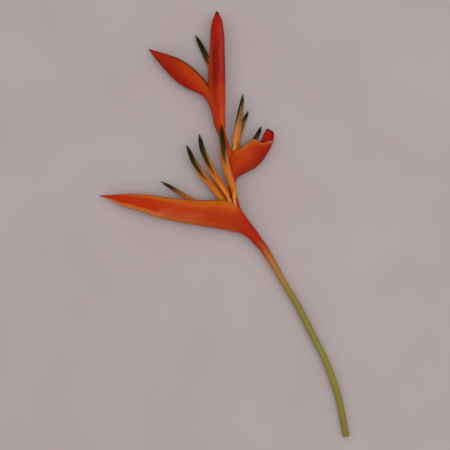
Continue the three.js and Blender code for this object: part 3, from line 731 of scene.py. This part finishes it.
def makeBract(bract):
    folds = [(*fold, 0, 1)[:10] for fold in bract["folds"]]
    marks = [0.0]
    for a, b in zip(folds, folds[1:]):
        marks.append(marks[-1] + (math.dist(a[:2], b[:2]) + math.dist(a[2:4], b[2:4])) / 2)
    count = bractBuild["foldPoints"]
    across = np.linspace(-1, 1, count)
    rings = bractRings(bract, folds, marks, across)
    ringSize = rings.shape[1]

    # A ragged dry edge: some columns of the last rings stop short
    if bract["ragged"]:
        reach = bractBuild["raggedRings"]
        for column in range(ringSize):
            spot = (column if column < count else 2 * count + 5 - column) / bractBuild["raggedColumns"]
            jag = bract["ragged"] * (0.5 + noise.noise(Vector((spot, bract["seed"], 0))))
            for back in range(reach):
                share = jag * (1 - back / reach)
                rings[-1 - back, column] += (rings[-1 - reach, column] - rings[-1 - back, column]) * share
    rings[..., 2] = np.maximum(rings[..., 2], 0)
    points = rings.reshape(-1, 3)

    # The ends are closed from the outer to the inner face, with one more cell for each lip
    faces = ringFaces(len(rings), ringSize)
    last = 2 * count + 2
    cells = [(i, i + 1, last - i - 1, last - i) for i in range(count - 1)]
    cells.append((count - 1, count, count + 1, count + 2, count + 3))
    cells.append((last, last + 1, last + 2, last + 3, 0))
    faces += [tuple(reversed(cell)) for cell in cells]
    faces += [tuple((len(rings) - 1) * ringSize + i for i in cell) for cell in cells]
    ringAcross = np.concatenate([across, [1, 1, 1], across[::-1], [-1, -1, -1]])
    ringInside = np.concatenate([np.zeros(count), [0.2, 0.5, 0.8], np.ones(count), [0.8, 0.5, 0.2]])

    # Each scar sits on the upper wall, at the point nearest to its place
    upperWall = rings[:, count // 2:count].reshape(-1, 3)
    scars = []
    for x, y, radius in bract["scars"]:
        nearest = np.argmin(np.hypot(upperWall[:, 0] - x, upperWall[:, 1] - y))
        scars.append((upperWall[nearest], radius))
    piece = meshPiece(bract["name"], points, outwardFaces(points, faces), {
        "along": np.repeat(np.linspace(0, 1, len(rings)), ringSize),
        "across": np.tile(ringAcross, len(rings)), "inside": np.tile(ringInside, len(rings))},
        bractSkin(bract, marks[-1], scars))
    finishPiece(piece, "bract", bract["node"])


for bract in (lowerBract, rightBract, upperLeftBract, topBract):
    makeBract(bract)
print("bracts made")


# Florets: an ovary on its pedicel, the fused tube and the one free sepal

floretBuild = {
    "linePoints": 600,
    "clearance": 0.3,
    "tubeSteps": 90,
    "tubeSides": 40,
    "tubeRibs": 5,
    "tubeRibHeight": 0.025,
    "tubeSwell": [(0, 0.72), (0.12, 0.9), (0.35, 1.0), (0.6, 0.93), (0.8, 0.7), (0.93, 0.4), (1, 0.1)],
    "sepalThickness": 0.65,
    "sepalHalfAngle": 52.0,
    "sepalSteps": 80,
    "sepalPoints": 13,
    "sepalTaper": [(0, 0.8), (0.15, 1), (0.6, 1), (0.8, 0.8), (0.92, 0.5), (1, 0.12)],
    "sepalStart": 0.03,
    "sepalEnd": 0.985,
    "sepalRidge": 0.05,
    "gap": 0.08,
    "tipLift": 0.12,
    "tipThinning": 0.14,
    "pedicelRadius": 0.76,
    "fullOvaryWidth": 1.35,
    "ovarySteps": 44,
    "ovarySides": 36,
    "ovaryLobes": 3,
    "ovaryLobeHeight": 0.07,
    "ovarySwell": [(0, 0.68), (0.25, 1.15), (0.55, 1.35), (0.85, 1.2), (1, 0.95)],
    # Painted shade on the left of the foot: its slant along the tube and its edges across
    "shadeSlant": 1.6,
    "shadeEdges": (-9, -8, -0.4, -0.2),  # Full from the far left to -0.4 across
}

# Each line starts at the foot of the pedicel and ends at the tip. Narrowing is the width lost by the tip
# besides the taper that all share, and sepalAt the angle of the free sepal: both are 0 where left out. The
# dark green of the tip runs down each tube and sepal as a tongue: the share of the length where it starts,
# its spread, its middle from -1 at the left to 1, and its power: how late it widens. A fifth number is the
# share of the painted shade on the left of the foot: a brown-red darkening for the shadow of the next floret.
darkNames = ("darkFrom", "darkSpread", "darkMiddle", "darkPower", "footShade")
florets = [
    {"name": "lowerFloret1", "node": "lower_floret_1", "tone": "orange", "halfWidth": 1.2, "halfDepth": 1.2,
     "pedicel": 3, "ovary": 5, "tubeDark": (0.73, 1.9, 0.0, 0.8), "sepalDark": (0.7, 1.8, 0.0, 0.8),
     "line": [(9.0, 1.6, 5.3), (4.2, 2.6, 5.0), (-3.0, 6.2, 4.9), (-11.4, 10.8, 5.3), (-20.4, 15.6, 5.8),
              (-30.6, 21.4, 6.3), (-41.5, 28.0, 6.6)]},
    {"name": "lowerFloret2", "node": "lower_floret_2", "tone": "orange", "halfWidth": 2.1, "halfDepth": 1.45,
     "pedicel": 3, "ovary": 5, "narrowing": 0.22, "tubeDark": (0.36, 1.8, 0.0, 0.9),
     "sepalDark": (0.52, 1.7, -0.3, 0.8),
     "line": [(6.4, 7.3, 4.2), (4.1, 9.7, 4.2), (-0.6, 15.4, 4.4), (-6.8, 23.2, 4.9), (-14.5, 32.4, 5.6),
              (-20.5, 41.4, 6.0), (-24.9, 51.5, 6.2)]},
    {"name": "lowerFloret3", "node": "lower_floret_3", "tone": "orange", "halfWidth": 1.85, "halfDepth": 1.5,
     "pedicel": 3, "ovary": 5, "tubeDark": (0.3, 1.8, 0.1, 0.9, 1.0), "sepalDark": (0.58, 1.7, -0.4, 0.8),
     "line": [(5.6, 10.0, 7.7), (4.5, 12.5, 7.9), (2.8, 15.8, 7.9), (1.6, 18.7, 7.9), (-2.4, 25.7, 7.9),
              (-7.7, 34.0, 7.9), (-11.9, 42.4, 7.9), (-15.0, 50.2, 7.9), (-16.7, 58.4, 7.9)]},
    {"name": "lowerFloret4", "node": "lower_floret_4", "tone": "orange", "halfWidth": 2.3, "halfDepth": 1.5,
     "pedicel": 6.5, "ovary": 5, "sepalAt": 60, "tubeDark": (0.46, 1.05, 0.0, 0.7, 0.8),
     "sepalDark": (0.36, 1.7, 0.45, 0.8),
     "line": [(7.5, 9.4, 8.3), (6.7, 12.3, 8.9), (6.1, 14.8, 9.6), (5.9, 18.0, 10.2), (5.8, 21.0, 10.5),
              (5.1, 23.4, 10.5), (3.1, 29.1, 10.5), (1.0, 36.2, 10.4), (-0.5, 42.6, 10.3), (-1.4, 50.2, 10.3),
              (-1.9, 56.6, 10.3), (-2.0, 63.7, 10.3)]},
    {"name": "rightFloret1", "node": "right_floret_1", "tone": "peach", "halfWidth": 1.85, "halfDepth": 1.4,
     "pedicel": 2.6, "ovary": 5, "narrowing": 0.36, "tubeDark": (0.12, 2.2, -1.15, 1.05),
     "sepalDark": (0.7, 2.6, -0.6, 1.0),
     "line": [(5.2, 44.2, 5.7), (6.0, 48.8, 6.3), (6.7, 52.6, 6.6), (7.4, 56.6, 6.7), (8.1, 61.1, 6.8),
              (9.2, 68.2, 7.0), (9.95, 73.9, 7.0), (11.3, 83.8, 7.0)]},
    {"name": "rightFloret2", "node": "right_floret_2", "tone": "peach", "halfWidth": 1.2, "halfDepth": 1.15,
     "pedicel": 3, "ovary": 4, "narrowing": 0.1, "tubeDark": (0.4, 1.9, -0.6, 0.9),
     "sepalDark": (0.66, 1.7, 0.0, 0.8),
     "line": [(6.1, 41.6, 4.4), (7.1, 46.0, 3.8), (7.8, 49.3, 3.5), (8.8, 56.6, 3.3), (10.8, 63.0, 3.5),
              (12.4, 67.5, 3.7), (14.8, 73.3, 4.0)]},
    {"name": "rightFloret3", "node": "right_floret_3", "tone": "peach", "halfWidth": 1.35, "halfDepth": 1.2,
     "pedicel": 2, "ovary": 4, "tubeDark": (0.3, 2.4, 0.0, 0.8), "sepalDark": (0.5, 2.0, 0.0, 0.8),
     "line": [(5.9, 38.1, 5.5), (9.4, 41.2, 5.9), (12.0, 44.3, 5.9), (15.4, 48.6, 5.8), (18.4, 53.1, 5.8),
              (20.5, 57.1, 5.8), (23.2, 63.4, 5.9)]},
    {"name": "upperLeftFloret1", "node": "upper_left_floret_1", "tone": "orange", "halfWidth": 1.5,
     "halfDepth": 1.2, "pedicel": 2.5, "ovary": 4.5, "tubeDark": (0.43, 3.4, 0.0, 0.8),
     "sepalDark": (0.46, 3.4, 0.0, 0.8),
     "line": [(-7.6, 77.8, 3.3), (-8.4, 81.6, 3.3), (-9.2, 85.4, 3.2), (-9.2, 90.6, 2.9), (-8.9, 96.3, 2.4),
              (-9.6, 102.1, 2.3), (-12.2, 108.2, 2.5), (-15.5, 115.0, 2.9), (-19.2, 122.0, 3.4)]},
]


def tepalSkin(name, colours):
    # Heliconia perianth: thin waxy tissue, yellow-orange, with a dark green tip that runs down as a tongue
    skin, tree, shader, place, along, across, upper, start, spread, middle, power, shadeShare = startSkin(
        name, "along", "across", "upper", *darkNames)
    streaks = drawnOut(tree, (along, across, upper), (4.0, 7.0, 7.0), 3.0, 0.6)
    clouds = addNode(tree, "TexNoise", {"Vector": place, "Scale": 190.0, "Detail": 2.0})
    mixed = addNode(tree, "Math", {0: clouds, 1: 0.2, 2: along}, operation="MULTIPLY_ADD")
    base = addNode(tree, "ValToRGB", {0: mixed}, colours)

    # Painted shade on the left of the foot, a brown-red darkening for the shadow between florets, narrowing
    # along the tube
    lean = floretBuild["shadeSlant"]
    slant = addNode(tree, "Math", {0: along, 1: lean, 2: across}, operation="MULTIPLY_ADD")
    shadedBase = painted(tree, base, [(within(tree, shadeShare, slant, *floretBuild["shadeEdges"]), "#a63a04")])

    # The tongue: its half width grows from the start of the dark to the tip
    above = addNode(tree, "Math", {0: along, 1: start}, operation="SUBTRACT")
    room = addNode(tree, "Math", {0: 1.0, 1: start}, operation="SUBTRACT")
    part = addNode(tree, "Math", {0: above, 1: room}, operation="DIVIDE")
    grown = addNode(tree, "Math", {0: part, 1: 0.0}, operation="MAXIMUM")
    eased = addNode(tree, "Math", {0: grown, 1: power}, operation="POWER")
    reach = addNode(tree, "Math", {0: eased, 1: spread}, operation="MULTIPLY")
    off = addNode(tree, "Math", {0: across, 1: middle}, operation="SUBTRACT")
    away = addNode(tree, "Math", {0: off}, operation="ABSOLUTE")
    depth = addNode(tree, "Math", {0: reach, 1: away}, operation="SUBTRACT")
    frayed = addNode(tree, "Math", {0: streaks, 1: 0.9, 2: depth}, operation="MULTIPLY_ADD")
    tongue = addNode(tree, "MapRange", {0: frayed, 1: 0.3, 2: 0.9}, interpolation_type="SMOOTHSTEP")
    begun = addNode(tree, "MapRange", {0: part, 1: 0.0, 2: 0.12}, interpolation_type="SMOOTHSTEP")
    stain = addNode(tree, "Math", {0: tongue, 1: begun}, operation="MULTIPLY")
    green = addNode(tree, "ValToRGB", {0: part}, [
        (0.0, "#8a5212"), (0.16, "#583a08"), (0.34, "#342c05"), (0.6, "#1b2005"), (1.0, "#0b0d04")])
    stained = addNode(tree, "Mix", {0: stain, 6: shadedBase, 7: green}, data_type="RGBA").outputs[2]
    toned = streaked(tree, stained, streaks, 0.7, [(0.25, "#eae0d2"), (0.5, "#ffffff"), (0.8, "#faf4ea")])
    finishSkin(tree, shader, toned, streaks, 0.3, {
        "Roughness": addNode(tree, "MapRange", {0: streaks, 3: 0.36, 4: 0.52}), "IOR": 1.42,
        "Specular IOR Level": 0.2, "Specular Tint": linearColour("#ffd28c"), "Subsurface Weight": 0.12,
        "Subsurface Scale": 0.001})
    return skin


def ovarySkin():
    # Heliconia ovary: glossy yellow, three-lobed, on a paler peach pedicel
    skin, tree, shader, place, size = startSkin("glossy yellow ovary", "size")
    mottle = addNode(tree, "TexNoise", {"Vector": place, "Scale": 420.0, "Detail": 3.0})
    grown = addNode(tree, "Math", {0: mottle, 1: 0.2, 2: size}, operation="MULTIPLY_ADD")
    colour = addNode(tree, "ValToRGB", {0: grown}, [(0.88, "#e29a58"), (0.96, "#d28a24"), (1.0, "#d08a14")])
    finishSkin(tree, shader, colour, mottle, 0.2, {
        "Roughness": 0.32, "IOR": 1.45, "Specular IOR Level": 0.3, "Subsurface Weight": 0.15,
        "Subsurface Scale": 0.001})
    return skin


def lineFrames(line):
    along = np.gradient(line, axis=0)
    along = along / np.linalg.norm(along, axis=1)[:, None]
    sideways = np.stack([along[:, 1], -along[:, 0], np.zeros(len(line))], axis=1)
    sideways = sideways / np.linalg.norm(sideways, axis=1)[:, None]
    return sideways, np.cross(sideways, along)


def makeFloret(floret, skins):
    build = floretBuild
    line, length = smoothLine(floret["line"], build["linePoints"])
    shares = np.linspace(0, 1, len(line))
    start = (floret["pedicel"] + floret["ovary"]) / length

    # Ovary on its pedicel
    pedicelShare = floret["pedicel"] / (floret["pedicel"] + floret["ovary"])
    swell = throughRows(build["ovarySwell"])
    width = min(1, floret["halfWidth"] / build["fullOvaryWidth"])
    sizes = []
    for part in np.linspace(0, 1, build["ovarySteps"]):
        grown = (part - pedicelShare) / (1 - pedicelShare)
        sizes.append(build["pedicelRadius"] if grown < 0 else swell(grown)[0] * width)
    ovaryLine = pointsAt(np.linspace(0, start, build["ovarySteps"]), shares, line)
    piece = sweptPiece(floret["name"] + "Ovary", ovaryLine, sizes, {
        "Sides": build["ovarySides"], "Ribs": build["ovaryLobes"], "Rib Height": build["ovaryLobeHeight"],
        "Skin": skins["ovary"]})
    finishPiece(piece, "ovary", floret["node"] + "_ovary")

    # Tube, set aside by half the sepal's room
    room = (build["clearance"] + build["sepalThickness"]) / 2
    lean = math.radians(floret.get("sepalAt", 0))
    tubeLine = pointsAt(np.linspace(start, 1, build["tubeSteps"]), shares, line)
    sideways, lifts = lineFrames(tubeLine)
    swellAt, taperAt = throughRows(build["tubeSwell"]), throughRows(build["sepalTaper"])

    def widthAt(part):
        return swellAt(part)[0] * (1 - floret.get("narrowing", 0) * part)

    sizes = np.array([widthAt(part) for part in np.linspace(0, 1, build["tubeSteps"])])
    centres = (tubeLine - sideways * (room * sizes * math.cos(lean))[:, None]
               - lifts * (room * sizes * math.sin(lean))[:, None])
    piece = sweptPiece(floret["name"] + "Tube", centres, sizes, {
        "Sides": build["tubeSides"], "Ribs": build["tubeRibs"], "Rib Height": build["tubeRibHeight"],
        "Half Width": floret["halfWidth"] / 1000, "Half Depth": floret["halfDepth"] / 1000,
        "Skin": skins[floret["tone"] + "Tube"]})
    addValues(piece.data, dict(zip(darkNames, floret["tubeDark"])))
    finishPiece(piece, "tube", floret["node"] + "_tube")

    # Free sepal: a channelled strip on the tube
    steps, count = build["sepalSteps"], build["sepalPoints"]
    parts = build["sepalStart"] + (build["sepalEnd"] - build["sepalStart"]) * np.linspace(0, 1, steps + 1)
    middles = pointsAt(start + (1 - start) * parts, shares, line)
    sideways, lifts = lineFrames(middles)
    across = np.linspace(-1, 1, count)
    rings = []
    for middle, sideway, lift, part in zip(middles, sideways, lifts, parts):
        swell = widthAt(part)
        centre = middle - sideway * room * swell * math.cos(lean) - lift * room * swell * math.sin(lean)
        angle = lean + math.radians(build["sepalHalfAngle"]) * taperAt(part)[0] * across
        gap = build["gap"] + build["tipLift"] * part**6
        thin = 0.3 + 0.7 * smoothStep(0, build["tipThinning"], 1 - part)
        thick = thin * (build["sepalThickness"] + build["clearance"] / 2) * (0.95 - 0.45 * across**2)
        ridge = build["sepalRidge"] * np.cos(math.tau * across) * (1 - across**2)

        def face(distance):
            return (centre + np.outer((floret["halfWidth"] * swell + distance) * np.cos(angle), sideway)
                    + np.outer((floret["halfDepth"] * swell + distance) * np.sin(angle), lift))

        rings.append(np.vstack([face(gap + thick + ridge), face(gap + 0 * across)[::-1]]))
    points = np.array(rings).reshape(-1, 3)
    points[:, 2] = np.maximum(points[:, 2], 0)
    ringSize = 2 * count
    faces = ringFaces(steps + 1, ringSize)
    for i in range(count - 1):
        cell = (i, i + 1, ringSize - 2 - i, ringSize - 1 - i)
        faces.append(tuple(reversed(cell)))
        faces.append(tuple(steps * ringSize + corner for corner in cell))
    piece = meshPiece(floret["name"] + "Sepal", points, outwardFaces(points, faces), {
        "along": np.repeat(np.linspace(0, 1, steps + 1), ringSize),
        "across": np.tile(np.concatenate([across, across[::-1]]), steps + 1), "upper": 0,
        **dict(zip(darkNames, floret["sepalDark"]))}, skins[floret["tone"] + "Sepal"])
    finishPiece(piece, "sepal", floret["node"] + "_sepal")


floretSkins = {
    "orangeTube": tepalSkin("waxy orange perianth tube", [
        (0.0, "#e08a26"), (0.2, "#d88222"), (0.36, "#c86c1a"), (0.7, "#b4622a"), (1.0, "#4c3414")]),
    "orangeSepal": tepalSkin("waxy orange free sepal", [
        (0.0, "#ca761c"), (0.4, "#c06a26"), (0.68, "#b07044"), (0.85, "#6c4e24"), (1.0, "#2c2410")]),
    "peachTube": tepalSkin("waxy peach perianth tube", [
        (0.0, "#dc862a"), (0.2, "#cc7e32"), (0.4, "#c0763a"), (0.6, "#a0683c"), (0.8, "#8c6240"),
        (1.0, "#4c3414")]),
    "peachSepal": tepalSkin("waxy peach free sepal", [
        (0.0, "#e07c24"), (0.35, "#c2743a"), (0.6, "#8c6038"), (0.8, "#80603c"), (1.0, "#2c2410")]),
    "ovary": ovarySkin(),
}
for floret in florets:
    makeFloret(floret, floretSkins)
print("florets made")


# Table, light and camera

studio = {
    "tableSize": 9.0,
    "tableColours": ("#b5aaaa", "#b1a6a5"),
    "worldColour": "#f2eeee",
    "worldStrength": 0.7,
    "keyPlace": (0.3, 0.02, 0.9),
    "keySize": 0.9,
    "keyPower": 2.7,
    "fillPlace": (-0.28, 0.25, 0.95),
    "fillSize": 1.2,
    "fillPower": 1.9,
    "lens": 85.0,
    "frameWidth": 0.288,
    "lookHeight": 0.006,
}


def tableSkin():
    # Painted board: matt, almost even, with a faint mottle some 60 mm wide
    skin, tree, shader, place = startSkin("matt painted board")
    mottle = addNode(tree, "TexNoise", {"Vector": place, "Scale": 16.0, "Detail": 2.0})
    light, dark = studio["tableColours"]
    colour = addNode(tree, "ValToRGB", {0: mottle}, [(0.35, dark), (0.65, light)])
    setSockets(tree, shader, {"Base Color": colour, "Roughness": 0.95, "Specular IOR Level": 0.0})
    return skin


def makeStudio():
    half = studio["tableSize"] / 2 * 1000
    corners = [(-half, -half, 0), (half, -half, 0), (half, half, 0), (-half, half, 0)]
    meshPiece("table", corners, [(0, 1, 2, 3)], {}, tableSkin())
    world = bpy.data.worlds.new("soft room")
    world.use_nodes = True
    setSockets(world.node_tree, world.node_tree.nodes["Background"], {
        "Color": linearColour(studio["worldColour"]), "Strength": studio["worldStrength"]})
    scene.world = world
    for label in ("key", "fill"):
        lamp = bpy.data.lights.new(label, "AREA")
        lamp.size = studio[label + "Size"]
        lamp.energy = studio[label + "Power"]
        light = bpy.data.objects.new(label, lamp)
        light.location = studio[label + "Place"]
        light.rotation_euler = (-light.location).to_track_quat("-Z", "Y").to_euler()
        scene.collection.objects.link(light)
    lensView = bpy.data.cameras.new("camera")
    lensView.lens = studio["lens"]
    lensView.clip_start = 0.01
    camera = bpy.data.objects.new("camera", lensView)
    distance = studio["frameWidth"] / 2 / math.tan(lensView.angle / 2)
    camera.location = (0, 0, studio["lookHeight"] + distance)
    scene.collection.objects.link(camera)
    scene.camera = camera
    scene.view_settings.view_transform = "Standard"


makeStudio()
print("studio made")
